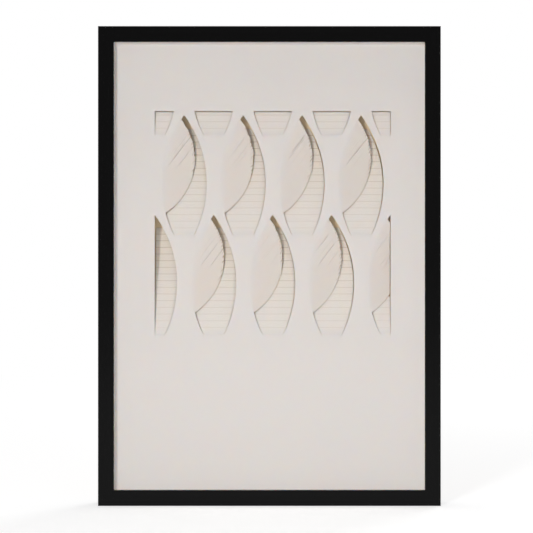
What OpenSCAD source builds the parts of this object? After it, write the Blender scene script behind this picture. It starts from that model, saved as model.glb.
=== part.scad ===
// Framed paper relief: a deep black box frame with a cut and folded sheet behind glass.
// X runs to the right, Y to the back and Z up. The origin is the middle of the base.

/* [Frame] */
// Outer width of the frame
frame_w = 500; // [440:10:640]
// Outer height of the frame
frame_h = 700; // [660:10:900]
// Width of a rail seen from the front
face_w = 23; // [18:1:32]
// Thickness of the lip that holds the glass
lip_t = 4; // [3:0.5:6]
// How far the lip reaches over the glass
rabbet_w = 6; // [4.5:0.5:8]
// Small bevel along the front edges of a rail
edge_bevel = 0.8; // [0.3:0.1:1.5]
// Depth left open behind the backing board
rear_recess = 3; // [2:0.5:8]

/* [Glass and boards] */
// Thickness of the glass
glass_t = 2; // [1.5:0.5:4]
// Thickness of the relief paper
sheet_t = 0.8; // [0.5:0.1:1.2]
// Thickness of the tan board behind the relief
mount_t = 1.5; // [1:0.1:3]
// Thickness of the backing board
backing_t = 3; // [2:0.5:6]
// Play between the boards and the rails on each side
board_gap = 0.9; // [0.3:0.1:1.5]

/* [Spacers and risers] */
// Width of a spacer strip between glass and paper
spacer_w = 4; // [3:0.5:5]
// Depth of a spacer strip
spacer_d = 6; // [4:0.5:12]
// Width of a riser strip behind the paper
riser_w = 12; // [8:1:20]
// Free room between the deepest fold and the tan board
relief_clear = 1; // [0.5:0.25:4]

/* [Leaf windows] */
// Blank paper from the frame's left inner edge to the relief
field_left = 59; // [45:1:80]
// Blank paper from the frame's top inner edge to the relief
field_top = 100; // [60:5:160]
// Paper from the top of the relief down to the tips of the upper leaves
tip_margin = 6; // [3:1:12]
// Distance between leaves in a row
leaf_pitch = 86.4; // [74:0.2:92]
// Distance between two rows
row_pitch = 146; // [142:2:170]
// Width of a leaf
leaf_w = 66; // [50:1:70]
// Height of a whole leaf, tip to tip
leaf_h = 200; // [190:2:206]
// From a leaf's widest line down to its straight foot
leaf_foot = 75; // [66:1:80]
// Width of a knife cut
kerf = 0.4; // [0.2:0.1:0.8]

/* [Curved flaps] */
// Angle by which a flap is folded in
flap_angle = 14; // [8:1:18]
// From a leaf's tip down to the start of its flap
flap_tip = 6; // [4:1:12]
// From the widest line down to the end of the flap
flap_foot = 43; // [30:1:50]
// How far the free edge of a flap bows out
flap_bow = 30; // [20:1:34]

/* [Pleated tongues] */
// Height of one pleat
pleat_pitch = 9.8; // [8:0.2:14]
// How much deeper each pleat lies than the one below
pleat_drop = 1.45; // [0.8:0.05:1.6]
// How far the foot of a pleat overhangs the one below
pleat_lip = 0.8; // [0.4:0.1:1.2]
// Least height of the open notch above a tongue
notch_h = 17; // [14:1:30]

/* [Fasteners] */
// Length of a corner nail's leg
nail_leg = 8; // [5:0.5:9]
// Thickness of a corner nail
nail_t = 0.7; // [0.4:0.1:1]
// How deep a corner nail is driven
nail_d = 8; // [5:0.5:12]
// Angle of each leg from the mitre
nail_spread = 35; // [25:1:42]
// Width of a backing point
point_w = 8; // [5:0.5:10]
// Thickness of a backing point
point_t = 0.5; // [0.3:0.1:0.8]
// Length of a backing point inside the rail
point_in = 6; // [5:0.5:8]
// Length of a backing point over the board
point_out = 9; // [6:0.5:14]
// Number of points along the bottom or top rail
point_count_across = 3; // [2:1:4]
// Number of points along a side rail
point_count_up = 4; // [3:1:6]

/* [Hangers and bumpers] */
// Distance of a hanger's middle from the frame's side
hanger_inset = 120; // [60:5:160]
// Length of a hanger
hanger_w = 46; // [42:1:60]
// Height of a hanger strip
hanger_h = 10; // [8:0.5:11]
// Sheet thickness of a hanger
hanger_t = 1; // [0.8:0.1:1.2]
// Height of a hanger's raised middle over the rail
hanger_rise = 1.8; // [1.2:0.1:2]
// Length of a hanger's flat ear
hanger_ear = 8; // [7:0.5:9]
// Pitch of the hanger's teeth
tooth_pitch = 2.4; // [2:0.1:3]
// Depth of the hanger's teeth
tooth_d = 1.8; // [1.2:0.1:2.2]
// Shank radius of a hanger screw
screw_r = 1.2; // [0.9:0.1:1.5]
// Length of a hanger screw below its head
screw_l = 12; // [8:1:16]
// Radius of a screw head
head_r = 2.6; // [2:0.1:3]
// Height of a screw head
head_h = 1.2; // [0.8:0.1:1.4]
// Radius of a wall bumper
bumper_r = 6; // [4:0.5:7]
// Thickness of a wall bumper
bumper_t = 3.5; // [3.4:0.1:6]
// Distance of a bumper's middle from the frame's side
bumper_inset = 34; // [30:1:60]

/* [Hidden] */
$fn = 96;

sides = ["bottom", "left", "top", "right"];
black_paint = "#161616";
ivory = "#efe9e0";

// Inner sizes
wall_w = face_w - rabbet_w;
open_w = frame_w - 2 * face_w;
open_h = frame_h - 2 * face_w;
board_w = frame_w - 2 * wall_w - 2 * board_gap;
board_h = frame_h - 2 * wall_w - 2 * board_gap;

// Pleats that fit on a tongue, and the depth that they reach
pleats = floor((leaf_h / 2 - notch_h + leaf_foot) / pleat_pitch);
fold_d = pleats * pleat_drop + pleat_lip;
riser_d = fold_d + relief_clear;

// Depths from front to back
frame_d = lip_t + glass_t + spacer_d + sheet_t + riser_d + mount_t + backing_t + rear_recess;
y_front = -(frame_d + bumper_t) / 2;
y_glass = y_front + lip_t;
y_spacer = y_glass + glass_t;
y_sheet = y_spacer + spacer_d;
y_riser = y_sheet + sheet_t;
y_mount = y_riser + riser_d;
y_backing = y_mount + mount_t;
y_points = y_backing + backing_t;
y_back = y_front + frame_d;

// How far the root of a flap or tongue runs into the sheet that it's folded from
root_w = 1;

// A leaf is bounded by two arcs of one radius
leaf_r = (pow(leaf_h / 2, 2) + pow(leaf_w / 2, 2)) / leaf_w;
leaf_c = leaf_r - leaf_w / 2;
leaf_columns = 4;
field_x = -open_w / 2 + field_left;
field_w = leaf_columns * leaf_pitch;
field_z = frame_h - face_w - field_top;
upper_z = field_z - tip_margin - leaf_h / 2;

// The free edge of a flap is an arc between two points of the left side
flap_start = [arc_x(leaf_h / 2 - flap_tip), leaf_h / 2 - flap_tip];
flap_end = [arc_x(-flap_foot), -flap_foot];
flap_chord = norm(flap_start - flap_end);
flap_r = (pow(flap_chord / 2, 2) + pow(flap_bow, 2)) / (2 * flap_bow);
flap_side = [flap_start[1] - flap_end[1], flap_end[0] - flap_start[0]] / flap_chord;
flap_c = (flap_start + flap_end) / 2 + flap_side * (flap_bow - flap_r);

// Hanger places
hanger_z = frame_h - wall_w / 2;
hanger_x = frame_w / 2 - hanger_inset;
ear_x = (hanger_w - hanger_ear) / 2;
// Length of the slope between a hanger's ear and its raised middle, and play round a screw
slope_w = 2.5;
hole_gap = 0.3;

function arc_x(y) = leaf_c - sqrt(pow(leaf_r, 2) - pow(y, 2));
function is_upright(side) = side == "left" || side == "right";
function side_length(side) = is_upright(side) ? frame_h : frame_w;
function side_point_count(side) = is_upright(side) ? point_count_up : point_count_across;

// Turns a flat outline in X and Z into a plate that starts at depth y
module plate(y, t) {
    translate([0, y + t, 0])
        rotate([90, 0, 0])
            linear_extrude(t)
                children();
}

// Moves a part made for the bottom side to any side
module at_side(side) {
    if (side == "bottom") children();
    if (side == "left") translate([-frame_w / 2, 0, frame_h / 2]) rotate([0, 90, 0]) children();
    if (side == "top") translate([0, 0, frame_h]) rotate([0, 180, 0]) children();
    if (side == "right") translate([frame_w / 2, 0, frame_h / 2]) rotate([0, -90, 0]) children();
}

// Section of a rail: distance from the outer face, and depth from the front
module rail_section() {
    polygon([
        [edge_bevel, 0],
        [face_w - edge_bevel, 0],
        [face_w, edge_bevel],
        [face_w, lip_t],
        [wall_w, lip_t],
        [wall_w, frame_d],
        [0, frame_d],
        [0, edge_bevel],
    ]);
}

// One mitred rail with the cuts of its nails and points
module rail(side) {
    length = side_length(side);
    at_side(side)
        difference() {
            intersection() {
                translate([0, y_front, 0])
                    rotate([0, -90, 0])
                        linear_extrude(length, center = true)
                            rail_section();
                plate(y_front, frame_d)
                    polygon([
                        [-length / 2, 0],
                        [length / 2, 0],
                        [length / 2 - face_w, face_w],
                        [-length / 2 + face_w, face_w],
                    ]);
            }
            row_of_points(side);
            corner_nail(length);
            mirror([1, 0, 0]) corner_nail(length);
        }
}

module rail_bottom() {
    color(black_paint) rail("bottom");
}

module rail_left() {
    color(black_paint) rail("left");
}

module rail_top() {
    color(black_paint)
        difference() {
            rail("top");
            screw_shanks();
        }
}

module rail_right() {
    color(black_paint) rail("right");
}

// V nail across the mitre at the right end of a rail, driven in from the back
module corner_nail(length) {
    middle = wall_w / 2;
    apex = middle - nail_leg / 4;
    plate(y_back - nail_d, nail_d)
        translate([length / 2 - apex, apex])
            rotate(135)
                for (turn = [-nail_spread, nail_spread])
                    rotate(turn)
                        translate([0, -nail_t / 2])
                            square([nail_leg, nail_t]);
}

module corner_nails() {
    color("silver")
        for (side = sides)
            at_side(side) corner_nail(side_length(side));
}

// Flat pointed tabs pushed into a rail over the backing board
module row_of_points(side) {
    count = side_point_count(side);
    step = side_length(side) / count;
    for (i = [0 : count - 1])
        plate(y_points, point_t)
            translate([(i - (count - 1) / 2) * step, wall_w])
                polygon([
                    [0, -point_in],
                    [point_w / 2, -point_in + point_w / 2],
                    [point_w / 2, point_out],
                    [-point_w / 2, point_out],
                    [-point_w / 2, -point_in + point_w / 2],
                ]);
}

module backing_points() {
    color("silver")
        for (side = sides)
            at_side(side) row_of_points(side);
}

// Outline shared by the glass, the paper and the boards
module board_outline() {
    translate([-board_w / 2, wall_w + board_gap])
        square([board_w, board_h]);
}

module glazing() {
    color("lightcyan", 0.3) plate(y_glass, glass_t) board_outline();
}

module mount_board() {
    color("#b8956b") plate(y_mount, mount_t) board_outline();
}

module backing_board() {
    color("#8a6a48") plate(y_backing, backing_t) board_outline();
}

// One strip of a ring inside the boards' outline; the upright strips stand between the others
module strip(side, y, depth, width) {
    length = is_upright(side) ? board_h - 2 * width : board_w;
    at_side(side)
        plate(y, depth)
            translate([-length / 2, wall_w + board_gap])
                square([length, width]);
}

module spacer_bottom() {
    color(ivory) strip("bottom", y_spacer, spacer_d, spacer_w);
}

module spacer_left() {
    color(ivory) strip("left", y_spacer, spacer_d, spacer_w);
}

module spacer_top() {
    color(ivory) strip("top", y_spacer, spacer_d, spacer_w);
}

module spacer_right() {
    color(ivory) strip("right", y_spacer, spacer_d, spacer_w);
}

module riser_bottom() {
    color("white") strip("bottom", y_riser, riser_d, riser_w);
}

module riser_left() {
    color("white") strip("left", y_riser, riser_d, riser_w);
}

module riser_top() {
    color("white") strip("top", y_riser, riser_d, riser_w);
}

module riser_right() {
    color("white") strip("right", y_riser, riser_d, riser_w);
}

// The relief field above a leaf's foot, seen from the middle of the leaf at place
module field_part(place, inset = 0, root = 0) {
    bottom = -leaf_foot - root;
    top = field_z - place[1] - inset;
    translate([field_x - place[0] + inset, bottom])
        square([field_w - 2 * inset, top - bottom]);
}

// Leaf outline with a straight foot, cut off at the sides and top of the field
module leaf_window(place, inset = 0, root = 0) {
    intersection() {
        translate([leaf_c, 0]) circle(leaf_r - inset);
        translate([-leaf_c, 0]) circle(leaf_r - inset);
        field_part(place, inset, root);
    }
}

// Flat outline of the flap on the left side of a leaf
module flap_outline(place) {
    intersection() {
        translate([leaf_c, 0]) circle(leaf_r + root_w);
        translate(flap_c) circle(flap_r);
        field_part(place, kerf);
    }
}

// The flap hangs on the left arc and bends back as part of a cone
module flap(place) {
    reach = leaf_w;
    drop = reach * tan(flap_angle);
    intersection() {
        translate([leaf_c, 0, 0])
            rotate_extrude()
                polygon([
                    [leaf_r + root_w, 0],
                    [leaf_r + root_w, -sheet_t],
                    [leaf_r, -sheet_t],
                    [leaf_r - reach, -drop - sheet_t],
                    [leaf_r - reach, -drop],
                    [leaf_r, 0],
                ]);
        translate([0, 0, -drop - 2 * sheet_t])
            linear_extrude(drop + 3 * sheet_t)
                flap_outline(place);
    }
}

// Front and back line of the pleats: height from the foot, and depth
function pleat_front(k) = [
    [k * pleat_pitch, -k * pleat_drop],
    [(k + 1) * pleat_pitch, -(k + 1) * pleat_drop - pleat_lip],
];
function pleat_back(k) = [
    [k * pleat_pitch + (k > 0 ? sheet_t : 0), -k * pleat_drop - sheet_t],
    [
        (k + 1) * pleat_pitch + (k < pleats - 1 ? sheet_t : 0),
        -(k + 1) * pleat_drop - pleat_lip - sheet_t,
    ],
];

// Flat outline of what a flap takes from the tongue beside it. Where the side of the field
// crosses the flap, nothing of the tongue is left above the flap's middle.
module flap_cut(place) {
    middle = (flap_start[1] + flap_end[1]) / 2;
    translate(flap_c) circle(flap_r + kerf);
    if (place[0] >= field_x + field_w) translate([-leaf_w, middle]) square([leaf_w, leaf_h]);
}

// The tongue hangs on the straight foot and steps back pleat by pleat as it rises
module tongue(place, has_flap) {
    last = pleats - 1;
    intersection() {
        translate([0, -leaf_foot, 0])
            rotate([90, 0, 90])
                linear_extrude(leaf_w, center = true)
                    polygon([
                        [-root_w, 0],
                        for (k = [0 : last]) each pleat_front(k),
                        for (k = [last : -1 : 0]) each [pleat_back(k)[1], pleat_back(k)[0]],
                        [-root_w, -sheet_t],
                    ]);
        translate([0, 0, -fold_d - 2 * sheet_t])
            linear_extrude(fold_d + 3 * sheet_t)
                difference() {
                    leaf_window(place, kerf, root_w);
                    if (has_flap) flap_cut(place);
                }
    }
}

// Runs its children at the middle of each leaf: the upper and lower row, and between them
// and the top of the field the feet of a third row
module at_leaves() {
    for (i = [0 : leaf_columns - 1]) {
        $place = [field_x + (i + 0.5) * leaf_pitch, upper_z];
        $has_flap = true;
        translate($place) children();
    }
    for (i = [0 : leaf_columns], row = [-1, 1]) {
        $place = [field_x + i * leaf_pitch, upper_z + row * row_pitch];
        $has_flap = row < 0 && i > 0;
        translate($place) children();
    }
}

// One sheet of heavy paper: leaf windows whose flaps and tongues are cut and folded from it
module relief_sheet() {
    color(ivory)
        translate([0, y_sheet, 0])
            rotate([90, 0, 0]) {
                translate([0, 0, -sheet_t])
                    linear_extrude(sheet_t)
                        difference() {
                            board_outline();
                            at_leaves() leaf_window($place);
                        }
                at_leaves() {
                    if ($has_flap) flap($place);
                    tongue($place, $has_flap);
                }
            }
}

// Bent strip of a hanger, seen from above: flat ears and a raised middle
module hanger_section() {
    half = hanger_w / 2;
    foot = half - hanger_ear;
    crest = foot - slope_w;
    polygon([
        [-half, 0],
        [-foot, 0],
        [-crest, hanger_rise],
        [crest, hanger_rise],
        [foot, 0],
        [half, 0],
        [half, hanger_t],
        [foot, hanger_t],
        [crest, hanger_rise + hanger_t],
        [-crest, hanger_rise + hanger_t],
        [-foot, hanger_t],
        [-half, hanger_t],
    ]);
}

// Saw-toothed hanger on the back of the top rail
module hanger(x) {
    crest = hanger_w / 2 - hanger_ear - slope_w;
    teeth = floor(crest / tooth_pitch) - 1;
    color("silver")
        translate([x, y_back, hanger_z])
            difference() {
                translate([0, 0, -hanger_h / 2])
                    linear_extrude(hanger_h)
                        hanger_section();
                for (i = [-teeth : teeth])
                    translate([i * tooth_pitch, 0, -hanger_h / 2])
                        plate(0, hanger_rise + 2 * hanger_t)
                            polygon([[-tooth_pitch / 2, 0], [0, tooth_d], [tooth_pitch / 2, 0]]);
                for (ear = [-ear_x, ear_x])
                    translate([ear, -hanger_t, 0])
                        rotate([-90, 0, 0])
                            cylinder(r = screw_r + hole_gap, h = 3 * hanger_t);
            }
}

module hanger_left() {
    hanger(-hanger_x);
}

module hanger_right() {
    hanger(hanger_x);
}

// Runs its children at each screw, with the screw's axis along Z and its head up
module at_screws() {
    for (x = [-hanger_x, hanger_x])
        for (ear = [-ear_x, ear_x])
            translate([x + ear, y_back + hanger_t, hanger_z])
                rotate([-90, 0, 0])
                    children();
}

module screw_shanks() {
    at_screws()
        translate([0, 0, -screw_l])
            cylinder(r = screw_r, h = screw_l);
}

module hanger_screws() {
    slot_w = head_r / 3;
    color("silver") {
        screw_shanks();
        at_screws()
            difference() {
                union() {
                    cylinder(r = head_r, h = head_h / 2);
                    translate([0, 0, head_h / 2])
                        cylinder(r1 = head_r, r2 = head_r - head_h / 2, h = head_h / 2);
                }
                for (turn = [0, 90])
                    rotate(turn)
                        translate([-head_r / 2, -slot_w / 2, head_h / 2])
                            cube([head_r, slot_w, head_h]);
            }
    }
}

// Soft round pad that keeps the frame off the wall
module bumper(x) {
    edge = bumper_r / 6;
    color("dimgray")
        translate([x, y_back, wall_w / 2])
            rotate([-90, 0, 0]) {
                cylinder(r = bumper_r, h = bumper_t - edge);
                translate([0, 0, bumper_t - edge])
                    cylinder(r1 = bumper_r, r2 = bumper_r - edge, h = edge);
            }
}

module bumper_left() {
    bumper(-frame_w / 2 + bumper_inset);
}

module bumper_right() {
    bumper(frame_w / 2 - bumper_inset);
}

rail_bottom();
rail_left();
rail_top();
rail_right();
glazing();
spacer_bottom();
spacer_left();
spacer_top();
spacer_right();
relief_sheet();
riser_bottom();
riser_left();
riser_top();
riser_right();
mount_board();
backing_board();
backing_points();
corner_nails();
hanger_left();
hanger_right();
hanger_screws();
bumper_left();
bumper_right();
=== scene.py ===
import math

import bpy
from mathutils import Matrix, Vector, geometry, noise


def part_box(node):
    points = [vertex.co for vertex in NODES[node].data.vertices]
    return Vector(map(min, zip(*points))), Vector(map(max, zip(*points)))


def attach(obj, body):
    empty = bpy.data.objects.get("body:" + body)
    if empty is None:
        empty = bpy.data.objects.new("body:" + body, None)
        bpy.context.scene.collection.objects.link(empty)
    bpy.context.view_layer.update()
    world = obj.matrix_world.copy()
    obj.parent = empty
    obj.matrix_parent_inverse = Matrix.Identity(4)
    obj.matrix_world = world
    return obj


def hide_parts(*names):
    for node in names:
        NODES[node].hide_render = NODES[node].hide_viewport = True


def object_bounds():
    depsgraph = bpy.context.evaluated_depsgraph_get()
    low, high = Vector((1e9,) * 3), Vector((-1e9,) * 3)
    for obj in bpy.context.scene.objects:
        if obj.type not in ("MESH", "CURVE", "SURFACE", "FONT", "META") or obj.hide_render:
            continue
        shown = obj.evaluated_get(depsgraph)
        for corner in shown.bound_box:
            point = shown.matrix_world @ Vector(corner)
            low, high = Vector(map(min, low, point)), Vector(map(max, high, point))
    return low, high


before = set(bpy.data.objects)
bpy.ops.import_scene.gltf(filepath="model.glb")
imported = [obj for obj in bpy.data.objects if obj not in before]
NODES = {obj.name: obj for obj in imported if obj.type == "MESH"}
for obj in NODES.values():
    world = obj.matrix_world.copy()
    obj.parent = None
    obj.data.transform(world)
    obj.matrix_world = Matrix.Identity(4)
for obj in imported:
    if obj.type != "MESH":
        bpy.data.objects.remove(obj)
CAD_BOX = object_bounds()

bl_info = {
    "name": "Framed paper relief",
    "version": (1, 0, 0),
    "blender": (4, 5, 0),
    "location": "3D View > Sidebar > Paper relief",
    "description": "Dresses a black box frame that holds a cut and folded sheet of paper",
    "category": "Object",
}

MM = 0.001
PAPER_LOW, PAPER_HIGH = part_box("relief_sheet")
FRAME_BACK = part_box("rail_top")[1].y


# Sizes and finishes that a user would change


def length(name, description, mm):
    return bpy.props.FloatProperty(
        name=name, description=description, default=mm * MM, min=0.0, unit="LENGTH",
        subtype="DISTANCE", precision=4)


def angle(name, description, degrees):
    return bpy.props.FloatProperty(
        name=name, description=description, default=math.radians(degrees), unit="ROTATION",
        subtype="ANGLE")


def factor(name, description, default):
    return bpy.props.FloatProperty(
        name=name, description=description, default=default, min=0.0, max=1.0,
        subtype="FACTOR")


def colour(name, description, default):
    return bpy.props.FloatVectorProperty(
        name=name, description=description, default=default, min=0.0, max=1.0, size=3,
        subtype="COLOR")


def power(name, description, watts):
    return bpy.props.FloatProperty(
        name=name, description=description, default=watts, min=0.0, unit="POWER")


class ReliefSizes(bpy.types.PropertyGroup):
    """The cuts and folds of the sheet"""
    sheet_t: length("Sheet", "Thickness of the paper", 0.8)
    field_x: length("Field side", "From the middle to the left side of the relief", 168)
    field_z: length("Field top", "Height of the relief's top over the base", 577)
    columns: bpy.props.IntProperty(
        name="Columns", description="Leaves in the upper row", default=4)
    tip_margin: length("Tip margin", "From the field's top to the upper tips", 6)
    leaf_pitch: length("Leaf pitch", "Distance between leaves in a row", 86.4)
    row_pitch: length("Row pitch", "Distance between two rows", 146)
    leaf_w: length("Leaf width", "Width of a leaf", 66)
    leaf_h: length("Leaf height", "Height of a whole leaf", 200)
    leaf_foot: length("Foot", "From the widest line down to the straight foot", 75)
    kerf: length("Kerf", "Width of a knife cut", 0.4)
    flap_angle: angle("Flap angle", "Angle by which a flap is folded in", 14)
    flap_tip: length("Flap start", "From the tip down to the start of the flap", 6)
    flap_foot: length("Flap end", "From the widest line down to the end of the flap", 43)
    flap_bow: length("Flap bow", "How far the free edge bows out", 30)
    pleats: bpy.props.IntProperty(
        name="Pleats", description="Pleats on a tongue", default=16)
    pleat_pitch: length("Pleat pitch", "Height of one pleat", 9.8)
    pleat_drop: length("Pleat drop", "How much deeper each pleat lies", 1.45)
    pleat_lip: length("Pleat lip", "How far a pleat overhangs the one below", 0.8)
    fold_soft: length("Soft fold", "Width over which a flap's fold is rounded", 2.2)
    ripple: length("Ripple", "Height of the sheet's slow unevenness", 0.35)
    pucker: length("Pucker", "Height of the slanting puckers on a flap", 0.32)
    crease: length("Crease", "Depth of the creases on a flap", 0.30)
    waver: length("Waver", "How far a hand-cut edge strays", 0.16)


class PaperFinish(bpy.types.PropertyGroup):
    """Colours and surface of the papers and boards"""
    face: colour("Paper", "Heavy ivory paper", (0.800, 0.743, 0.719))
    # Painted shade: a warmer copy of the paper for the flaps, which lean away from the light
    flap: colour("Flaps", "Paper of the curved flaps", (0.806, 0.727, 0.682))
    # Painted light: a lighter copy of the paper for the pleats, which get less light than the
    # flat sheet
    pleat: colour("Pleats", "Paper of the pleated tongues", (0.845, 0.776, 0.735))
    # Painted warm shade: the colour the paper turns to the deeper it lies behind the sheet's
    # face
    painted_recess_shade: colour("Deep paper", "Paper deep in the folds", (0.860, 0.765, 0.670))
    # Painted shadow: the dark colour of the lines at the pleats' folds and at the nicks of free
    # edges
    line: colour("Fold line", "Paper in the narrow shadow of a fold", (0.46, 0.35, 0.24))
    # Painted shade on the cut edges: faces that look sideways take this darker brown
    core: colour("Cut edge", "Core of the paper where it's cut", (0.60, 0.50, 0.39))
    tan: colour("Tan board", "Board behind the relief", (0.98, 0.73, 0.47))
    strip: colour("Strips", "Edge strips round the paper", (0.74, 0.70, 0.655))
    foam: colour("Risers", "Core of the riser strips", (0.80, 0.79, 0.77))
    hardboard: colour("Hardboard", "Back of the frame", (0.250, 0.140, 0.070))
    tooth: factor("Tooth", "Strength of the paper's fine grain", 0.35)


class FrameFinish(bpy.types.PropertyGroup):
    """Finish of the rails, metal and rubber"""
    paint: colour("Paint", "Satin black paint", (0.0028, 0.0027, 0.0028))
    bare: colour("Bare wood", "Back faces where the paint is thin", (0.030, 0.022, 0.017))
    steel: colour("Steel", "Zinc-plated steel", (0.56, 0.56, 0.55))
    rubber: colour("Rubber", "Wall bumpers", (0.045, 0.045, 0.047))
    ease: length("Eased edge", "Width of the eased edge of a rail", 0.22)


class StageSettings(bpy.types.PropertyGroup):
    """Camera, lights and floor"""
    camera_gap: length("Camera distance", "From the frame's front to the camera", 2400)
    view_width: length("View width", "Width of the view at the frame's front", 777.3)
    aim_x: bpy.props.FloatProperty(
        name="Aim across", description="Camera's place across", default=-4.2 * MM, unit="LENGTH")
    aim_z: length("Aim height", "Camera's height", 349.3)
    key: power("Key", "Light from the upper left", 231)
    front: power("Front", "Broad low light from the front", 5.3)
    rear: power("Rear", "Soft light on the back", 40)
    # Painted reflection: the near floor glows this much brighter for reflected rays only
    floor_reflection_glow: factor("Floor sheen", "How much brighter the near floor mirrors", 0.26)
    ambient: factor("Ambient", "Even light from all sides", 0.15)
    rear_ambient: factor("Rear ambient", "What is added to it behind the frame", 0.50)


# Shader maths


class Wire:
    """An output socket. Sums and products with it add Math nodes to its material."""

    def __init__(self, socket):
        self.socket = socket

    @property
    def tree(self):
        return self.socket.id_data

    def node(self, kind, settings=None, sockets=None, output=0):
        """Adds a node: its type, its settings, and the values or links of its sockets."""
        return add_node(self.tree, kind, settings, sockets, output)

    def maths(self, operation, *values):
        return self.node("ShaderNodeMath", {"operation": operation}, dict(enumerate(values)))

    def __add__(self, other):
        return self.maths("ADD", self, other)

    def __radd__(self, other):
        return self.maths("ADD", other, self)

    def __sub__(self, other):
        return self.maths("SUBTRACT", self, other)

    def __rsub__(self, other):
        return self.maths("SUBTRACT", other, self)

    def __mul__(self, other):
        return self.maths("MULTIPLY", self, other)

    def __rmul__(self, other):
        return self.maths("MULTIPLY", other, self)

    def __truediv__(self, other):
        return self.maths("DIVIDE", self, other)

    def __abs__(self):
        return self.maths("ABSOLUTE", self)

    def step(self, low, high):
        """0 below low, 1 above high, and smooth between them."""
        return self.node("ShaderNodeMapRange", {"interpolation_type": "SMOOTHSTEP"},
                         {0: self, 1: low, 2: high})

    def between(self, dark, light):
        """A colour that goes from dark to light as this value goes from 0 to 1."""
        return self.node("ShaderNodeMix", {"data_type": "RGBA"},
                         {0: self, 6: as_colour(dark), 7: as_colour(light)}, 2)


def add_node(tree, kind, settings=None, sockets=None, output=0):
    """Adds a node to a tree and returns one of its outputs as a Wire."""
    node = tree.nodes.new(kind)
    for name, value in (settings or {}).items():
        setattr(node, name, value)
    for name, value in (sockets or {}).items():
        if isinstance(value, Wire):
            tree.links.new(value.socket, node.inputs[name])
        else:
            node.inputs[name].default_value = value
    return Wire(node.outputs[output])


def as_colour(value):
    """A colour as a colour socket takes it: with its fourth value, unless it is a Wire."""
    return value if isinstance(value, Wire) else (*value, 1.0)


class Finish:
    """One material: coordinates in metres, textures, and the shader that ends it."""

    def __init__(self, name):
        self.material = bpy.data.materials.new(name)
        self.material.use_nodes = True
        self.tree = self.material.node_tree
        self.tree.nodes.clear()
        self.place = self.node("ShaderNodeTexCoord", output="Object")

    def node(self, kind, settings=None, sockets=None, output=0):
        return add_node(self.tree, kind, settings, sockets, output)

    def axes(self, vector=None):
        """The three parts of a vector, or of the place on the object."""
        source = self.place if vector is None else vector
        split = self.node("ShaderNodeSeparateXYZ", sockets={0: source})
        return [Wire(output) for output in split.socket.node.outputs]

    def turned(self, scale=(1, 1, 1), angles=(0, 0, 0)):
        """Coordinates turned first and then stretched."""
        turn = self.node("ShaderNodeMapping", sockets={"Vector": self.place, "Rotation": angles})
        return self.node("ShaderNodeMapping", sockets={"Vector": turn, "Scale": scale})

    def noise(self, size, detail=2.0, roughness=0.5, vector=None, distortion=0.0):
        """Noise from 0 to 1 whose features are about size metres across."""
        return self.node("ShaderNodeTexNoise", sockets={
            "Vector": self.place if vector is None else vector, "Scale": 1 / size,
            "Detail": detail, "Roughness": roughness, "Distortion": distortion})

    def cells(self, size, output="Distance", vector=None):
        """Cells about size metres across."""
        place = self.place if vector is None else vector
        return self.node("ShaderNodeTexVoronoi", sockets={"Vector": place, "Scale": 1 / size},
                         output=output)

    def bump(self, height, distance, strength=1.0, normal=None):
        """A normal for a surface whose height of 1 stands distance metres up."""
        sockets = {"Height": height, "Distance": distance, "Strength": strength}
        if normal is not None:
            sockets["Normal"] = normal
        return self.node("ShaderNodeBump", sockets=sockets)

    def surface(self, **sockets):
        """The shader; a socket is named as in the panel, with _ for a space."""
        named = {name.replace("_", " "): value for name, value in sockets.items()}
        if not isinstance(named["Base Color"], Wire):
            named["Base Color"] = as_colour(named["Base Color"])
        return self.node("ShaderNodeBsdfPrincipled", sockets=named)

    def glow(self, strength):
        """White light that the surface gives off."""
        return self.node("ShaderNodeEmission", sockets={
            "Color": (1, 1, 1, 1), "Strength": strength})

    def ray(self, kind):
        """1 for rays of that kind."""
        return self.node("ShaderNodeLightPath", output=kind)

    def mixed(self, share, first, second):
        """A shader that goes from first to second as share goes from 0 to 1."""
        return self.node("ShaderNodeMixShader", sockets={0: share, 1: first, 2: second})

    def end(self, shader):
        """Links the shader to the material's output and returns the material."""
        output = self.tree.nodes.new("ShaderNodeOutputMaterial")
        self.tree.links.new(shader.socket, output.inputs["Surface"])
        return self.material


# Finishes

# Creases of a flap, in mm: how far across the slant, where they begin and end along it, width
CREASES = ((-23, 8, 48, 1.0), (-31, 4, 56, 0.7), (-35.5, 14, 64, 1.1), (-43, 20, 62, 0.8))
CREASE_SLANT = math.radians(53)
# Lengths, in mm, over which a crease comes in and runs out
CREASE_IN, CREASE_OUT = 9, 12
# Distance across the slant between two nicks of a free edge, about 6 mm along the edge
NICK_PITCH = 3.6 * MM
# Depth under the sheet's face at which the paper has its full painted warm shade
PAINTED_SHADE_DEPTH = 26 * MM
# What each vertex of the sheet tells its finish, from 0 to 1
MARKS = ("crease_area", "fold_line", "flap_area", "pleat_area", "free_edge")


def times(tone, by):
    """A colour made lighter or darker."""
    return [min(1.0, part * by) for part in tone]


def sine(value):
    """The sine of a number, or of a socket's value."""
    return value.maths("SINE", value) if isinstance(value, Wire) else math.sin(value)


def crease_of_leaf(number, i, x, y):
    """How far a place lies across crease i and along it, and the crease's strength. Each leaf
    shifts its creases and has them stronger or weaker."""
    shift = sine(number * (2.9 + i) + 1.7 * i) * 3.5 * MM
    strength = sine(number * (5.3 - i) + 0.8 + i) * 0.5 + 0.75
    across = x * math.sin(CREASE_SLANT) - y * math.cos(CREASE_SLANT) - CREASES[i][0] * MM + shift
    along = x * math.cos(CREASE_SLANT) + y * math.sin(CREASE_SLANT) + shift
    return across, along, strength


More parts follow.
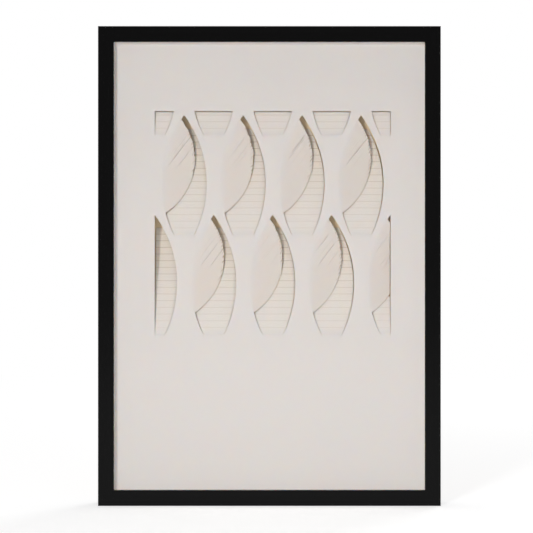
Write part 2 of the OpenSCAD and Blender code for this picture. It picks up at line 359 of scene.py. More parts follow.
def slanting_creases(mat):
    """Hairline creases, a few to each flap, that run up to the right."""
    leaf = mat.node("ShaderNodeAttribute", {"attribute_name": "leaf_place"}, output="Vector")
    x, y, number = mat.axes(leaf)
    waver = (mat.noise(0.014, 1) - 0.5) * 1.2 * MM
    total = None
    for i, (_, begin, end, width) in enumerate(CREASES):
        across, along, strength = crease_of_leaf(number, i, x, y)
        line = 1 - abs(across + waver) / (width * MM)
        begins = along.step(begin * MM, (begin + CREASE_IN) * MM)
        ends = 1 - along.step((end - CREASE_OUT) * MM, end * MM)
        ridge = line.maths("MAXIMUM", line, 0) * (begins * ends) * strength
        total = ridge if total is None else total + ridge
    return total


def edge_nicks(mat):
    """Short slanting marks along a hand-cut edge, painted as shade in the paper's colour and
    also used as a small bump.
    """
    leaf = mat.node("ShaderNodeAttribute", {"attribute_name": "leaf_place"}, output="Vector")
    x, y, number = mat.axes(leaf)
    slant = x * math.sin(CREASE_SLANT) - y * math.cos(CREASE_SLANT)
    turn = slant * (2 * math.pi / NICK_PITCH) + mat.noise(0.009, 2) * 9 + number
    return sine(turn).step(0.35, 0.95) * mat.noise(0.006, 1).step(0.35, 0.55)


def ivory_paper(finish):
    """Heavy cotton paper: fine tooth and slow mottling. Painted warm shade where it lies deep,
    painted shadow lines at folds and nicks, painted shade on cut edges, and painted shaded and
    lit copies of the paper on flaps and pleats.
    """
    mat = Finish("ivory_cotton_paper")
    # deep sets the painted warm shade and the strength of the painted fold shadows
    deep = (mat.axes()[1] - PAPER_LOW.y).step(0.0, PAINTED_SHADE_DEPTH)
    slow = mat.noise(0.11, 3)
    mottle = mat.noise(0.007, 4, 0.6)
    fibre = mat.noise(0.0011, 3, 0.65, distortion=1.2)
    area, fold, flap, pleat, edge = (
        mat.node("ShaderNodeAttribute", {"attribute_name": mark}, output="Fac")
        for mark in MARKS)
    # tone: painted warm shade by depth, plus random slow mottling, mottle and fibre
    tone = deep * 0.85 + (slow - 0.5) * 0.14 + (mottle - 0.5) * 0.16 + (fibre - 0.5) * 0.12
    # Painted shaded copy of the paper on the flaps and painted lit copy on the pleats
    part = pleat.between(flap.between(finish.face, finish.flap), finish.pleat)
    face = tone.between(part, finish.painted_recess_shade)
    # Painted shade on the cut edges: faces that point neither front nor back take the darker
    # brown
    facing = abs(mat.axes(mat.node("ShaderNodeNewGeometry", output="Normal"))[1])
    with_cut_edge_shade = facing.step(0.2, 0.6).between(finish.core, face)
    # nicks: painted shade of the nicks along each flap's free edge
    nicks = edge_nicks(mat) * edge
    # Painted shadow lines at the pleats' folds, stronger the deeper they lie, and painted shade
    # on the nicks
    base = (fold * (deep * 0.5 + 0.20) + nicks).between(with_cut_edge_shade, finish.line)
    crease = slanting_creases(mat) * area + nicks * 0.35
    grain = mat.noise(0.0006, 4, 0.7)
    height = grain * 0.5 + fibre * 0.5
    fine = mat.bump(height, 0.09 * MM, finish.tooth)
    folded = mat.bump(crease, 0.95 * MM, 1.0, fine)
    rough = 0.84 + (fibre - 0.5) * 0.12
    return mat.end(mat.surface(
        Base_Color=base, Roughness=rough, Normal=folded, Specular_IOR_Level=0.28,
        Subsurface_Weight=0.6, Subsurface_Radius=(1.0, 0.72, 0.5), Subsurface_Scale=0.9 * MM,
        Sheen_Weight=0.06, Sheen_Roughness=0.6))


def hardboard(brown):
    """The rough side of hardboard: matted fibres and the print of the screen it dried on."""
    mat = Finish("hardboard")
    x, _, z = mat.axes()
    screen_pitch = 1.9 * MM
    turns = 2 * math.pi / screen_pitch
    screen = sine(x * turns) * sine(z * turns)
    cloud = mat.noise(0.035, 4, 0.6)
    fibres = [mat.noise(0.0015, 3, 0.7, mat.turned((0.16, 1, 1), (0, turn, 0)), 0.6)
              for turn in (0.4, 1.9)]
    matted = fibres[0].maths("MAXIMUM", *fibres)
    dark = mat.noise(0.0024, 2, 0.5, mat.turned((0.3, 1, 1), (0, 1.1, 0))).step(0.60, 0.74)
    tone = cloud * 0.5 + matted * 0.55 + screen * 0.07
    base = (dark * 0.5).between(
        tone.between(times(brown, 0.62), times(brown, 1.5)), times(brown, 0.38))
    height = matted * 0.6 + screen * 0.35
    return mat.end(mat.surface(
        Base_Color=base, Roughness=0.66 + matted * 0.15, Specular_IOR_Level=0.3,
        Normal=mat.bump(height, 0.16 * MM, 0.6)))


def board(name, low, high, fleck, bump_distance):
    """Pulp board: mottled from low to high, with short flecks."""
    mat = Finish(name)
    cloud = mat.noise(0.018, 4, 0.6)
    pulp = mat.noise(0.0013, 4, 0.7, distortion=0.8)
    specks = 1 - mat.cells(0.0042, vector=mat.turned((1, 1, 0.55))).step(0.05, 0.16)
    tone = cloud * 0.45 + pulp * 0.55
    base = (specks * 0.55).between(tone.between(low, high), fleck)
    return mat.end(mat.surface(
        Base_Color=base, Roughness=0.9 + (pulp - 0.5) * 0.1, Specular_IOR_Level=0.25,
        Normal=mat.bump(pulp, bump_distance, 0.6)))


def black_paint(finish, upright):
    """Satin black paint over wood; the grain runs along the rail and shows more at the back."""
    mat = Finish("black_paint_upright" if upright else "black_paint_level")
    stretch = (1, 1, 0.03) if upright else (0.03, 1, 1)
    along = mat.turned(stretch)
    grain = mat.noise(0.0011, 4, 0.65, along)
    pores = mat.noise(0.00035, 2, 0.6, along).step(0.60, 0.72)
    orange = mat.noise(0.0016, 2)
    brushed = mat.axes()[1] + mat.noise(0.004, 2) * 0.9 * MM
    back = brushed.step(FRAME_BACK - 0.1 * MM, FRAME_BACK + 0.6 * MM)
    thin = back * (0.35 + grain * 0.65)
    paint = (grain * 0.5 + orange * 0.5).between(
        times(finish.paint, 0.8), times(finish.paint, 1.25))
    base = thin.between(paint, finish.bare)
    rough = 0.19 + (grain - 0.5) * 0.06 + (orange - 0.5) * 0.06 + thin * 0.35
    height = grain * (0.5 + back * 1.5) + orange * 0.35 - pores * 0.8
    return mat.end(mat.surface(
        Base_Color=base, Roughness=rough, Specular_IOR_Level=0.25,
        Normal=mat.bump(height, 0.05 * MM, 0.3)))


def clear_glass():
    """Float glass that lets the lamps through."""
    mat = Finish("clear_glass")
    glass = mat.surface(
        Base_Color=(0.994, 0.998, 0.996), Roughness=0.0, IOR=1.50, Transmission_Weight=1.0)
    clear = mat.node("ShaderNodeBsdfTransparent", sockets={0: (0.984, 0.990, 0.987, 1)})
    shader = glass
    for ray in ("Is Diffuse Ray", "Is Shadow Ray"):
        shader = mat.mixed(mat.ray(ray), shader, clear)
    return mat.end(shader)


def zinc(finish):
    """Zinc-plated steel: small crystals, light scratches."""
    mat = Finish("zinc_plated_steel")
    crystal = mat.cells(0.0016, "Color")
    tone = mat.axes(crystal)[0]
    scratch = mat.noise(0.0009, 3, 0.7, mat.turned((0.06, 1, 1), (0.3, 0.4, 0.2)))
    base = (tone * 0.5 + scratch * 0.5).between(
        times(finish.steel, 0.82), times(finish.steel, 1.12))
    return mat.end(mat.surface(
        Base_Color=base, Metallic=1.0, Roughness=0.30 + tone * 0.12 + scratch * 0.1,
        Normal=mat.bump(scratch, 0.02 * MM, 0.4)))


def rubber(finish):
    """Dull moulded rubber with a little dust."""
    mat = Finish("grey_rubber")
    pit = mat.noise(0.0005, 3, 0.6)
    dust = mat.noise(0.003, 3).step(0.5, 0.75)
    base = (dust * 0.35).between(finish.rubber, [c + 0.05 for c in finish.rubber])
    return mat.end(mat.surface(
        Base_Color=base, Roughness=0.78 + dust * 0.1, Specular_IOR_Level=0.35,
        Normal=mat.bump(pit, 0.05 * MM, 0.5)))


def paint_node(name, material):
    """Gives a CAD node its finish."""
    slots = NODES[name].material_slots
    if not slots:
        NODES[name].data.materials.append(material)
    for slot in slots:
        slot.material = material


# The relief

# How finely the sheet is divided: along a window's outline, over the flat of the sheet, across
# a flap and across a tongue
EDGE_STEP = 1.5 * MM
PLATE_GRID = 7 * MM
FLAP_COLUMNS = 30
FOOT_COLUMNS = 14
# Rows of a pleat: how far up it, and how strong the fold's shadow line is there
PLEAT_ROWS = (
    (0, 1), (0.035, 0.85), (0.085, 0), (0.35, 0), (0.66, 0), (0.93, 0), (0.97, 0.3), (1, 1))

# Outside a hinge: where the sheet has rows of vertices, and how far it is drawn down. A place
# this close to the hinge's line counts as on it
HINGE_ROWS = (1.2 * MM, 2.8 * MM, 5.2 * MM)
HINGE_REACH = 8 * MM
ON_HINGE = 0.05 * MM
# Narrower than this, a flap or a tongue ends
LEAST_FLAP, LEAST_TONGUE = 0.3 * MM, 0.5 * MM
# The sheet is flat as far as the strips hold it, and uneven once it is free of them
STRIP_HOLD, STRIP_FREE = 14 * MM, 40 * MM
# Waves of the uneven sheet, in metres across and up
LONG_WAVE, SHORT_WAVE = (0.09, 0.13), (0.031, 0.045)
# Puckers of a flap: their turn, their size across and along it, in metres, how far below the
# leaf's middle they begin, in metres, and over which share of its height they grow
PUCKER_TURN = math.radians(-34)
PUCKER_WIDE, PUCKER_LONG = 0.0075, 0.040
PUCKER_BELOW, PUCKER_GROWTH = 0.012, 0.42
# A flap's free edge: length of a nick, width of the band where the nicks are painted as shade,
# and how many times the waver it strays low down and how many more higher up
NICK_LENGTH, NICK_BAND = 0.0042, 4.6 * MM
STRAY_LOW, STRAY_MORE = 1.2, 11
# Height over a leaf's middle at which its creases have their full depth, in metres
CREASED_FROM = 0.045
# A pleat: how far it bows out, how far its folds sag, and how wide a fold's step is
PLEAT_BOW, PLEAT_SAG, FOLD_STEP = 0.10 * MM, 0.12 * MM, 0.03 * MM
# Folds sharper than this have a sharp edge
SHARP_FOLD = math.radians(32)


def clamped(value):
    """The value, but no less than 0 and no more than 1."""
    return max(0.0, min(1.0, value))


def smooth(value):
    """0 below 0, 1 above 1, and smooth between them."""
    value = clamped(value)
    return value * value * (3 - 2 * value)


def uneven(u, v, layer):
    """Noise from -1 to 1, the same at the same place. Each layer has another pattern."""
    return noise.noise(Vector((u, v, layer)))


class Leaf:
    """One leaf window, in its own coordinates: x to the right and y up from its middle.

    Its sides are arcs of radius r, whose centres lie c beside the middle. The free edge of its
    flap is an arc of radius fr round fc. The hinge runs on the left side, from low to high.
    """

    def __init__(self, sizes, x, z, flap):
        self.s, self.x, self.z, self.flap = sizes, x, z, flap
        half_w, half_h = sizes.leaf_w / 2, sizes.leaf_h / 2
        self.r = (half_h ** 2 + half_w ** 2) / sizes.leaf_w
        self.c = self.r - half_w
        self.low = -sizes.leaf_foot
        self.top = min(half_h, sizes.field_z - z)
        self.side = (-sizes.field_x - x, sizes.columns * sizes.leaf_pitch - sizes.field_x - x)
        start, end = half_h - sizes.flap_tip, -sizes.flap_foot
        self.hinge = (end, start)
        a, b = Vector((-self.half(start), start)), Vector((-self.half(end), end))
        chord = (a - b).length
        self.fr = ((chord / 2) ** 2 + sizes.flap_bow ** 2) / (2 * sizes.flap_bow)
        out = Vector((a.y - b.y, b.x - a.x)) / chord
        self.fc = (a + b) / 2 + out * (sizes.flap_bow - self.fr)

    def half(self, y, inset=0.0):
        """Half the leaf's width at height y."""
        return math.sqrt(max((self.r - inset) ** 2 - y * y, 0.0)) - self.c

    def span(self, y, inset=0.0):
        """Left and right end of the window at height y."""
        half = self.half(y, inset)
        return max(-half, self.side[0] + inset), min(half, self.side[1] - inset)

    def tongue_span(self, y):
        """Left and right end of the tongue at height y."""
        left, right = self.span(y, self.s.kerf)
        reach = (self.fr + self.s.kerf) ** 2 - (y - self.fc.y) ** 2
        if self.flap and reach > 0 and y > self.hinge[0] - self.s.leaf_w / 4:
            left = max(left, self.fc.x + math.sqrt(reach))
        return left, right

    def flap_depth(self, x, y):
        """How far the sheet lies back at a place near the hinge, whose fold is rounded."""
        away = self.r - math.hypot(x - self.c, y)
        soft = self.s.fold_soft
        near = (away + math.hypot(away, soft)) / 2
        return math.tan(self.s.flap_angle) * near

    def in_hinge(self, y):
        """1 along the hinge, and 0 at its ends."""
        low, high = self.hinge
        return clamped(min(y - low, high - y) / (self.s.leaf_w / 5))

    def holds(self, x, y, margin=0.0):
        """Whether a place lies in the window, or within margin of it."""
        if y < self.low - margin or y > self.top + margin:
            return False
        left, right = self.span(max(self.low, min(self.top, y)))
        return left - margin < x < right + margin


def all_leaves(sizes):
    """The leaves of the upper row, and then those of the rows below and above it."""
    upper = sizes.field_z - sizes.tip_margin - sizes.leaf_h / 2
    leaves = [Leaf(sizes, -sizes.field_x + (i + 0.5) * sizes.leaf_pitch, upper, True)
              for i in range(sizes.columns)]
    for i in range(sizes.columns + 1):
        for row in (-1, 1):
            leaves.append(Leaf(sizes, -sizes.field_x + i * sizes.leaf_pitch,
                               upper + row * sizes.row_pitch, row < 0 and i > 0))
    for number, leaf in enumerate(leaves):
        leaf.number = number
    return leaves


def stray(amount, x, y, scale=0.004):
    """A small shift for a hand-cut edge."""
    return amount * uneven(x / scale, y / scale, 3.7)


def ripple(sizes, x, z):
    """Slow unevenness of the sheet; none where the strips hold it."""
    low, high = PAPER_LOW, PAPER_HIGH
    hold = min(x - low.x, high.x - x, z - low.z, high.z - z)
    free = clamped((hold - STRIP_HOLD) / STRIP_FREE)
    wave = uneven(x / LONG_WAVE[0], z / LONG_WAVE[1], 0.3)
    small = uneven(x / SHORT_WAVE[0], z / SHORT_WAVE[1], 5.1)
    return sizes.ripple * free * (0.5 + 0.5 * (0.75 * wave + 0.25 * small))


class Sheet:
    """The front face of the sheet as it grows: plan places, depths and faces."""

    def __init__(self, sizes):
        self.s = sizes
        self.points, self.faces, self.leaf_place = [], [], []
        self.marks = {name: [] for name in MARKS}
        self.leaf = None

    def add(self, x, z, depth, **marks):
        """Adds a vertex and returns its number. The marks go to the paper's finish."""
        self.points.append((x, PAPER_LOW.y + depth + ripple(self.s, x, z), z))
        for name, values in self.marks.items():
            values.append(marks.get(name, 0.0))
        leaf = self.leaf
        self.leaf_place.extend((x - leaf.x, z - leaf.z, leaf.number) if leaf else (0, 0, 0))
        return len(self.points) - 1

    def strip(self, below, above):
        """Faces between two rows of vertices that run the same way and are as long."""
        for i in range(len(below) - 1):
            ring = [below[i], below[i + 1], above[i + 1], above[i]]
            ring = [v for n, v in enumerate(ring) if v != ring[n - 1]]
            if len(ring) > 2:
                self.faces.append(ring)


def spread(low, high, step):
    """Evenly spaced values from low to high, about step apart."""
    count = max(1, round((high - low) / step))
    return [low + (high - low) * i / count for i in range(count + 1)]


def window_ring(leaf):
    """The window's outline, and which of its points the tongue and the flap hang on."""
    waver = leaf.s.waver
    left, right = leaf.span(leaf.low)
    root = leaf.tongue_span(leaf.low)
    ring, foot, hinge = [(left, leaf.low)], [], []
    for x in spread(root[0], root[1], (root[1] - root[0]) / FOOT_COLUMNS):
        foot.append(len(ring))
        ring.append((x, leaf.low))
    heights = spread(leaf.low, leaf.top, EDGE_STEP)
    pointed = leaf.top >= leaf.s.leaf_h / 2
    for y in heights[:-1] if pointed else heights:
        shift = 0.0 if y == leaf.low else stray(waver, leaf.x + right, leaf.z + y)
        ring.append((leaf.span(y)[1] + shift, y))
    if pointed:
        ring.append((sum(leaf.span(leaf.top)) / 2, leaf.top))
    else:
        for x in spread(*leaf.span(leaf.top), EDGE_STEP)[-2:0:-1]:
            ring.append((x, leaf.top + stray(waver, leaf.x + x, leaf.z)))
    low, high = leaf.hinge
    if leaf.flap:
        near = EDGE_STEP / 2
        heights = [y for y in heights if y < low - near or y > high + near]
        heights += spread(low, high, EDGE_STEP)
    for y in sorted(heights, reverse=True):
        if y <= leaf.low or (pointed and y >= leaf.top):
            continue
        on_hinge = leaf.flap and low <= y <= high
        shift = 0.0 if on_hinge else stray(waver, leaf.x - right, leaf.z + y)
        if on_hinge:
            hinge.append(len(ring))
        ring.append((leaf.span(y)[0] + shift, y))
    return ring, foot, hinge


def lay_plate(sheet, leaves):
    """The flat of the sheet round the windows. Returns each leaf's foot and hinge vertices."""
    low, high = PAPER_LOW, PAPER_HIGH
    places = [(low.x, low.z), (high.x, low.z), (high.x, high.z), (low.x, high.z)]
    edges = [(0, 1), (1, 2), (2, 3), (3, 0)]
    holds = []
    for leaf in leaves:
        ring, foot, hinge = window_ring(leaf)
        start = len(places)
        places += [(leaf.x + x, leaf.z + y) for x, y in ring]
        edges += [(start + i, start + (i + 1) % len(ring)) for i in range(len(ring))]
        holds.append(([start + i for i in foot], [start + i for i in hinge]))
    for leaf in leaves:
        if leaf.flap:
            for away in HINGE_ROWS:
                for y in spread(leaf.hinge[0], leaf.hinge[1], 2 * EDGE_STEP):
                    turn = math.asin(y / leaf.r)
                    reach = leaf.r + away
                    places.append((leaf.x + leaf.c - reach * math.cos(turn),
                                   leaf.z + reach * math.sin(turn)))
    for row, z in enumerate(spread(low.z, high.z, PLATE_GRID)):
        for x in spread(low.x + (row % 2) * PLATE_GRID / 2, high.x, PLATE_GRID):
            if not any(leaf.holds(x - leaf.x, z - leaf.z, 0.5 * PLATE_GRID) for leaf in leaves):
                places.append((x, z))
    convex_hull, merge_distance = 0, 1e-7
    verts, _, faces, sources = geometry.delaunay_2d_cdt(
        [Vector(p) for p in places], edges, [], convex_hull, merge_distance, True)[:4]
    number = {}
    for new, olds in enumerate(sources):
        for old in olds:
            number[old] = new
    base = len(sheet.points)
    for v in verts:
        depth = 0.0
        for leaf in leaves:
            x, y = v.x - leaf.x, v.y - leaf.z
            if leaf.flap and leaf.hinge[0] < y < leaf.hinge[1] and x < 0:
                if -HINGE_REACH < leaf.r - math.hypot(x - leaf.c, y) < ON_HINGE:
                    depth = max(depth, leaf.flap_depth(x, y) * leaf.in_hinge(y))
        sheet.add(v.x, v.y, depth)
    for face in faces:
        mid = sum((verts[i] for i in face), Vector((0, 0))) / len(face)
        if not any(leaf.holds(mid.x - leaf.x, mid.y - leaf.z) for leaf in leaves):
            sheet.faces.append([base + i for i in face])
    return [([base + number[i] for i in foot], [base + number[i] for i in hinge])
            for foot, hinge in holds]


def pucker(leaf, x, y, across):
    """Slanting puckers in the upper part of a flap, which fade to its hinge and lower end.
    Each leaf has its own."""
    high = clamped((y + PUCKER_BELOW) / (PUCKER_GROWTH * leaf.s.leaf_h))
    u = (x * math.cos(PUCKER_TURN) - y * math.sin(PUCKER_TURN)) / PUCKER_WIDE
    v = (x * math.sin(PUCKER_TURN) + y * math.cos(PUCKER_TURN)) / PUCKER_LONG
    wave = uneven(u + leaf.x * 90, v + leaf.z * 40, 1.3)
    return leaf.s.pucker * wave * high * min(1.0, across * 3)


def crease_valley(leaf, x, y):
    """The shallow valley round the creases of a flap."""
    total = 0.0
    for i, (_, begin, end, width) in enumerate(CREASES):
        across, along, strength = crease_of_leaf(leaf.number, i, x, y)
        near = smooth(1 - abs(across) / (2.6 * width * MM))
        ends = (smooth((along / MM - begin) / CREASE_IN)
                * smooth((end - along / MM) / CREASE_OUT))
        total += near * ends * max(0.0, strength)
    return leaf.s.crease * total


def lay_flap(sheet, leaf, hinge):
    """The smooth flap between its hinge and its free edge."""
    lean = math.tan(leaf.s.flap_angle)
    last = None
    for n, root in enumerate(hinge):
        x0, y0 = sheet.points[root][0] - leaf.x, sheet.points[root][2] - leaf.z
        home = Vector((x0, y0))
        ray = (Vector((leaf.c, 0)) - home).normalized()
        along = (home - leaf.fc).dot(ray)
        # The ray from the hinge ends at the arc of the free edge, or before the field's side
        inside = along ** 2 - (home - leaf.fc).length_squared
        wide = -along + math.sqrt(max(inside + leaf.fr ** 2, 0))
        room = (leaf.side[1] - leaf.s.kerf - home.x) / ray.x
        free = room > wide
        wide = min(wide, room)
        row = [root]
        if n in (0, len(hinge) - 1) or wide < LEAST_FLAP:
            row = [root] * (FLAP_COLUMNS + 1)
        else:
            held = leaf.in_hinge(y0)
            hand = STRAY_LOW + STRAY_MORE * clamped(y0 / (0.3 * leaf.s.leaf_h))
            nick = stray(leaf.s.waver * hand, leaf.x + x0, leaf.z + y0, NICK_LENGTH)
            nick = min(nick, room - wide)
            for i in range(1, FLAP_COLUMNS + 1):
                part = i / FLAP_COLUMNS
                x, y = home + ray * (wide * part + nick * part ** 3)
                depth = leaf.flap_depth(x, y) * held + lean * wide * part * (1 - held)
                creased = smooth(y / CREASED_FROM) * min(1.0, 3 * part)
                depth += pucker(leaf, x, y, part) + crease_valley(leaf, x, y) * creased
                near_edge = smooth(1.2 - wide * (1 - part) / NICK_BAND)
                edge = free * near_edge * smooth((y + 0.01) / 0.03)
                row.append(sheet.add(leaf.x + x, leaf.z + y, depth, crease_area=creased,
                                     flap_area=smooth(4 * part), free_edge=edge))
        if last:
            sheet.strip(row, last)
        last = row


def lay_tongue(sheet, leaf, foot):
    """The pleats that step back from the straight foot."""
    s = leaf.s
    last = foot
    top = min(leaf.top - s.kerf, leaf.low + s.pleats * s.pleat_pitch)
    for k in range(s.pleats):
        begin, end = leaf.low + k * s.pleat_pitch, leaf.low + (k + 1) * s.pleat_pitch
        if begin >= top:
            break
        for t, fold in PLEAT_ROWS[0 if k else 2:]:
            y = min(begin + t * (end - begin), top)
            left, right = leaf.tongue_span(y)
            if right - left < LEAST_TONGUE:
                return
            depth = (k + t) * s.pleat_drop + t * s.pleat_lip
            depth += PLEAT_BOW * math.sin(math.pi * t)
            row = []
            for i in range(FOOT_COLUMNS + 1):
                x = left + (right - left) * i / FOOT_COLUMNS
                if i in (0, FOOT_COLUMNS):
                    x += stray(s.waver * 0.6, leaf.x + x, leaf.z + y, 0.003) * 0.5
                sag = stray(PLEAT_SAG, leaf.x + x, leaf.z + k * 0.011, 0.03)
                z = leaf.z + y - (FOLD_STEP if t == 0 else 0)
                row.append(sheet.add(leaf.x + x, z, depth + sag, fold_line=fold,
                                     pleat_area=min(1.0, k + t)))
            sheet.strip(last, row)
            last = row
            if y >= top:
                return


def mesh_piece(name, points, faces):
    """A new object in the scene, made of points and faces."""
    mesh = bpy.data.meshes.new(name)
    mesh.from_pydata(points, [], faces)
    mesh.validate()
    piece = bpy.data.objects.new(name, mesh)
    bpy.context.scene.collection.objects.link(piece)
    return piece


def apply_modifiers(piece):
    """Puts the result of the piece's modifiers into its mesh."""
    depsgraph = bpy.context.evaluated_depsgraph_get()
    done = bpy.data.meshes.new_from_object(piece.evaluated_get(depsgraph), depsgraph=depsgraph)
    piece.modifiers.clear()
    piece.data = done


def settle(piece, replaced, material):
    """Rides the piece on the frame, in place of CAD nodes, with its finish."""
    piece.data.materials.clear()
    piece.data.materials.append(material)
    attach(piece, "root")
    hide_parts(*replaced)


# Operators


class PAPERFRAME_OT_fold_relief(bpy.types.Operator):
    """Cut the leaf windows in the sheet and fold its flaps and pleats"""
    bl_idname = "paperframe.fold_relief"
    bl_label = "Fold the relief"

    def execute(self, context):
        sizes = context.scene.relief_sizes
        leaves = all_leaves(sizes)
        sheet = Sheet(sizes)
        roots = lay_plate(sheet, leaves)
        for leaf, (foot, hinge) in zip(leaves, roots):
            sheet.leaf = leaf
            if leaf.flap:
                lay_flap(sheet, leaf, hinge)
            lay_tongue(sheet, leaf, foot)
        piece = mesh_piece("relief_paper", sheet.points, sheet.faces)
        for name, values in sheet.marks.items():
            mask = piece.data.attributes.new(name, "FLOAT", "POINT")
            mask.data.foreach_set("value", values)
        place = piece.data.attributes.new("leaf_place", "FLOAT_VECTOR", "POINT")
        place.data.foreach_set("vector", sheet.leaf_place)
        if sum(face.normal.y * face.area for face in piece.data.polygons) > 0:
            piece.data.flip_normals()
        solid = piece.modifiers.new("thickness", "SOLIDIFY")
        solid.thickness = sizes.sheet_t
        solid.offset = -1
        apply_modifiers(piece)
        piece.data.shade_smooth()
        piece.data.set_sharp_from_angle(angle=SHARP_FOLD)
        settle(piece, ["relief_sheet"], ivory_paper(context.scene.paper_finish))
        return {"FINISHED"}


class PAPERFRAME_OT_paint_rails(bpy.types.Operator):
    """Ease the edges of the rails and paint them black"""
    bl_idname = "paperframe.paint_rails"
    bl_label = "Paint the rails"

    def execute(self, context):
        finish = context.scene.frame_finish
        level, upright = black_paint(finish, False), black_paint(finish, True)
        for side in ("bottom", "top", "left", "right"):
            rail = NODES["rail_" + side]
            ease = rail.modifiers.new("eased_edges", "BEVEL")
            ease.width = finish.ease
            ease.segments = 2
            ease.limit_method = "ANGLE"
            ease.angle_limit = math.radians(30)
            ease.use_clamp_overlap = False
            ease.harden_normals = True
            paint_node("rail_" + side, upright if side in ("left", "right") else level)
        return {"FINISHED"}


class PAPERFRAME_OT_fit_boards(bpy.types.Operator):
    """Finish the glass, the strips and the boards"""
    bl_idname = "paperframe.fit_boards"
    bl_label = "Fit glass and boards"

    def execute(self, context):
        finish = context.scene.paper_finish
        paint_node("glazing", clear_glass())
        strips = board("ivory_strip", times(finish.strip, 0.95), finish.strip,
                       times(finish.strip, 0.8), 0.05 * MM)
        foam = board("foam_core", times(finish.foam, 0.95), finish.foam,
                     times(finish.foam, 0.88), 0.12 * MM)
        for side in ("bottom", "left", "top", "right"):
            paint_node("spacer_" + side, strips)
            paint_node("riser_" + side, foam)
        paint_node("mount_board", board(
            "tan_board", times(finish.tan, 0.90), times(finish.tan, 1.12),
            times(finish.tan, 0.5), 0.08 * MM))
        paint_node("backing_board", hardboard(finish.hardboard))
        return {"FINISHED"}


class PAPERFRAME_OT_fit_hardware(bpy.types.Operator):
    """Finish the points, nails, hangers, screws and bumpers"""
    bl_idname = "paperframe.fit_hardware"
    bl_label = "Fit the hardware"

    def execute(self, context):
        finish = context.scene.frame_finish
        metal, soft = zinc(finish), rubber(finish)
        for name in ("backing_points", "corner_nails", "hanger_left", "hanger_right",
                     "hanger_screws"):
            paint_node(name, metal)
        for name in ("bumper_left", "bumper_right"):
            paint_node(name, soft)
        return {"FINISHED"}


# Lamps: size in metres, distance in metres from the object's middle, turn to the right and rise
# in degrees from the front, and the rays that don't see it
LAMPS = (
    ("key", (0.9, 0.9), 8.0, -21, 11, ("glossy",)),
    ("front", (1.0, 0.16), 1.1, 0, -14, ("camera", "glossy", "transmission")),
    ("rear", (1.6, 1.2), 4.5, 150, 30, ()),
)
# The floor: half its width in metres, the light added to it where the camera sees it, and the
# squares of the distances where it begins to change, where it is white and where it is even
FLOOR_HALF, FLOOR_LIFT = 9.0, 0.60
FLOOR_NEAR, FLOOR_WHITE, FLOOR_EVEN = 0.5, 8.0, 30.0


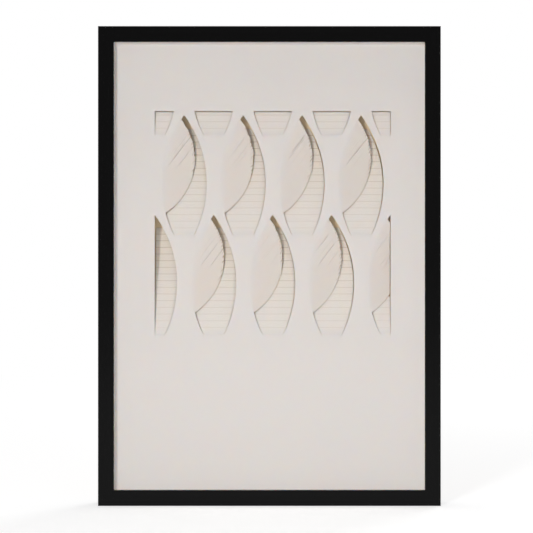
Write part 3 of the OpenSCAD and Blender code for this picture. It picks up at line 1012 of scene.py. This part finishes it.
class PAPERFRAME_OT_set_stage(bpy.types.Operator):
    """Set the floor, the lamps, the world and the camera"""
    bl_idname = "paperframe.set_stage"
    bl_label = "Set the stage"

    def execute(self, context):
        stage = context.scene.stage_settings
        scene = context.scene
        front = CAD_BOX[0].y
        middle = (CAD_BOX[0] + CAD_BOX[1]) / 2
        scene.view_settings.view_transform = "Standard"
        self.add_floor(stage)
        for name, size, distance, turn, rise, hidden in LAMPS:
            lamp = self.add_lamp(name, getattr(stage, name), size, middle, distance, turn, rise)
            for ray in hidden:
                setattr(lamp, "visible_" + ray, False)
        self.set_world(scene, stage)
        data = bpy.data.cameras.new("camera")
        data.sensor_width = 36
        data.lens = data.sensor_width * stage.camera_gap / stage.view_width
        camera = bpy.data.objects.new("camera", data)
        camera.location = (stage.aim_x, front - stage.camera_gap, stage.aim_z)
        camera.rotation_euler = (math.radians(90), 0, 0)
        scene.collection.objects.link(camera)
        scene.camera = camera
        return {"FINISHED"}

    def add_floor(self, stage):
        """A pale floor that keeps the shadow near the object and is white farther off. For
        reflected rays the near floor glows brighter, a painted reflection in the rails and
        glass.
        """
        half = FLOOR_HALF
        floor = mesh_piece("floor", [(-half, -half, 0), (half, -half, 0), (half, half, 0),
                                     (-half, half, 0)], [(0, 1, 2, 3)])
        mat = Finish("pale_floor")
        x, y, _ = mat.axes()
        square = x * x + y * y
        pale = mat.surface(Base_Color=(0.78, 0.78, 0.78), Roughness=1.0, Specular_IOR_Level=0.0)
        lifted = mat.node("ShaderNodeAddShader", sockets={0: pale, 1: mat.glow(FLOOR_LIFT)})
        seen = mat.mixed(square.step(FLOOR_NEAR, FLOOR_WHITE), lifted, mat.glow(1.0))
        even = mat.glow(stage.ambient)
        # Painted reflection: near the object the floor glows brighter for reflected rays
        near = mat.glow(stage.ambient + stage.floor_reflection_glow)
        reflected_floor_glow = mat.mixed(square.step(FLOOR_NEAR, FLOOR_EVEN), near, even)
        shader = pale
        for ray, look in (("Is Camera Ray", seen), ("Is Glossy Ray", reflected_floor_glow),
                          ("Is Transmission Ray", even)):
            shader = mat.mixed(mat.ray(ray), shader, look)
        floor.data.materials.append(mat.end(shader))

    def add_lamp(self, name, watts, size, middle, distance, turn, rise):
        """An area lamp that shines on the middle; turn and rise are in degrees."""
        data = bpy.data.lights.new(name, "AREA")
        data.energy = watts
        data.shape = "RECTANGLE"
        data.size, data.size_y = size
        lamp = bpy.data.objects.new(name, data)
        turn, rise = math.radians(turn), math.radians(rise)
        way = Vector((math.sin(turn) * math.cos(rise), -math.cos(turn) * math.cos(rise),
                      math.sin(rise)))
        lamp.location = middle + way * distance
        lamp.rotation_euler = way.to_track_quat("Z", "Y").to_euler()
        bpy.context.scene.collection.objects.link(lamp)
        return lamp

    def set_world(self, scene, stage):
        """White where the camera sees it, and an even light that is stronger at the back."""
        world = bpy.data.worlds.new("studio")
        world.use_nodes = True
        tree = world.node_tree
        tree.nodes.clear()
        seen = add_node(tree, "ShaderNodeLightPath", output="Is Camera Ray")
        way = add_node(tree, "ShaderNodeTexCoord", output="Generated")
        behind = way.node("ShaderNodeSeparateXYZ", sockets={0: way}, output="Y")
        around = behind.step(0.0, 0.5) * stage.rear_ambient + stage.ambient
        strength = seen + (1 - seen) * around
        sky = add_node(tree, "ShaderNodeBackground", sockets={
            "Color": (1, 1, 1, 1), "Strength": strength})
        out = tree.nodes.new("ShaderNodeOutputWorld")
        tree.links.new(sky.socket, out.inputs["Surface"])
        scene.world = world


STEPS = ("fold_relief", "paint_rails", "fit_boards", "fit_hardware", "set_stage")


class PAPERFRAME_PT_panel(bpy.types.Panel):
    """Sizes, finishes and steps of the framed relief"""
    bl_idname = "PAPERFRAME_PT_panel"
    bl_label = "Paper relief"
    bl_space_type = "VIEW_3D"
    bl_region_type = "UI"
    bl_category = "Paper relief"

    def draw(self, context):
        for step in STEPS:
            self.layout.operator("paperframe." + step)
        for attribute, group in GROUPS.items():
            box = self.layout.box()
            box.label(text=group.__doc__)
            for name in group.__annotations__:
                box.prop(getattr(context.scene, attribute), name)


GROUPS = {
    "relief_sizes": ReliefSizes,
    "paper_finish": PaperFinish,
    "frame_finish": FrameFinish,
    "stage_settings": StageSettings,
}
CLASSES = (
    *GROUPS.values(),
    PAPERFRAME_OT_fold_relief,
    PAPERFRAME_OT_paint_rails,
    PAPERFRAME_OT_fit_boards,
    PAPERFRAME_OT_fit_hardware,
    PAPERFRAME_OT_set_stage,
    PAPERFRAME_PT_panel,
)


def register():
    for each in CLASSES:
        bpy.utils.register_class(each)
    for attribute, group in GROUPS.items():
        setattr(bpy.types.Scene, attribute, bpy.props.PointerProperty(type=group))


def unregister():
    for attribute in GROUPS:
        delattr(bpy.types.Scene, attribute)
    for each in reversed(CLASSES):
        bpy.utils.unregister_class(each)


def main():
    register()
    for step in STEPS:
        getattr(bpy.ops.paperframe, step)()


if __name__ == "__main__":
    main()
